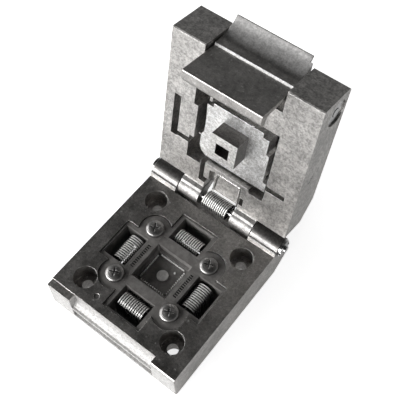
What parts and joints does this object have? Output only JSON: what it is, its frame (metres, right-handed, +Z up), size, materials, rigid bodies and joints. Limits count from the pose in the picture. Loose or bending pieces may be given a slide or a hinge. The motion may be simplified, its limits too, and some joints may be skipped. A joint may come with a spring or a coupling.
{
  "type": "zif socket",
  "caption": "Clamshell zero insertion force test socket: metal base with a central contact module, sprung hinged lid with a floating pressure plate, and a hook latch.",
  "frame": {"origin": "board face of the base, under the centre of the package", "axes": "+Z up out of the board, +Y from the latch face to the hinge, +X along the hinge"},
  "size_m": [0.034, 0.051, 0.0456],
  "materials": {
    "frame_metal": "fine bead-blasted, bright, machined edges",
    "latch_metal": "fine bead-blasted, bright",
    "plate_metal": "smooth satin",
    "resin": "moulded matt black",
    "contact_alloy": "pale bright plating",
    "steel": "bright stainless",
    "spring_wire": "drawn spring wire"
  },
  "bodies": {
    "base": {"base_frame": "frame_metal", "contact_carrier": "resin", "nest_plate": "resin", "contacts_front": "contact_alloy", "contacts_right": "contact_alloy", "contacts_rear": "contact_alloy", "contacts_left": "contact_alloy", "ground_pad": "contact_alloy", "polarity_pin": "contact_alloy", "module_screws": "steel", "hinge_pin": "steel", "hinge_clips": "steel", "lid_spring": "spring_wire"},
    "lid": {"lid_frame": "frame_metal", "spring_bail": "spring_wire", "plate_wire": "spring_wire", "latch_pin": "steel", "latch_clips": "steel", "latch_spring": "spring_wire"},
    "plate": {"pressure_plate": "plate_metal", "pusher_pedestal": "plate_metal", "pusher_springs": "spring_wire"},
    "latch": {"latch_hook": "latch_metal"}
  },
  "joints": [
    {"name": "lid_hinge", "type": "hinge", "parent": "base", "child": "lid", "pos_m": [0, 0.01845, 0.00905], "axis": [1, 0, 0], "range_deg": [0, 101.4], "stiffness_Nm_per_rad": 0.006, "springref_deg": -20.05},
    {"name": "latch_pivot", "type": "hinge", "parent": "lid", "child": "latch", "pos_m": [0, 0.03056, 0.04027], "axis": [-1, 0, 0], "range_deg": [0, 13], "stiffness_Nm_per_rad": 0.02, "springref_deg": -14.32},
    {"name": "plate_float", "type": "slide", "parent": "lid", "child": "plate", "axis": [0, 0.9803, -0.1977], "range_m": [0, 0.0008], "stiffness_N_per_m": 4000, "springref_m": -0.0006}
  ]
}
